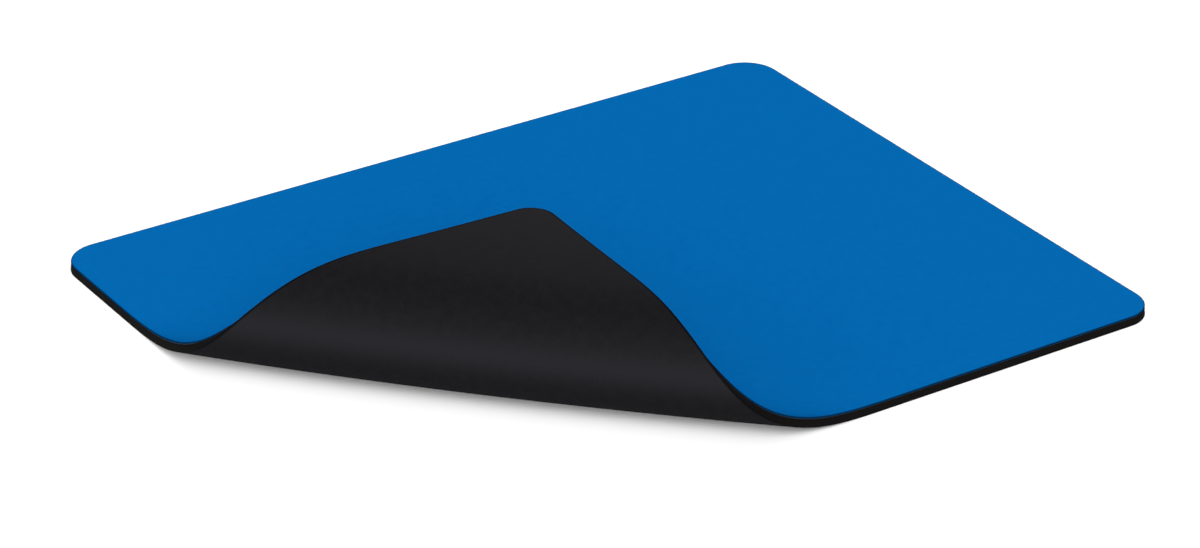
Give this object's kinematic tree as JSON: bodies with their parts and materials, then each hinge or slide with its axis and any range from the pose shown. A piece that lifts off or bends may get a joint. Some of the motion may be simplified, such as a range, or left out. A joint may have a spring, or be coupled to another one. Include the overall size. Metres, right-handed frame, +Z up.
{
  "type": "mouse pad",
  "caption": "Flat rectangular mouse pad with rounded corners, blue cloth over black sponge rubber, one corner curled back over the top.",
  "frame": {"origin": "on the table, under the middle of the flat pad's outline", "axes": "+X along the long side and +Y along the short side, both away from the curled corner; +Z up, out of the cloth"},
  "size_m": [0.2502, 0.2002, 0.0369],
  "materials": {
    "rubber": "matt black sponge rubber with a fine non-slip skin underneath",
    "adhesive": "thin hot-melt adhesive film, seen only as a line in the cut edge",
    "cloth": "fine blue polyester knit, matt"
  },
  "bodies": {
    "root": {"rubber_base": "rubber", "bond_film": "adhesive", "cloth_top": "cloth"}
  },
  "joints": []
}
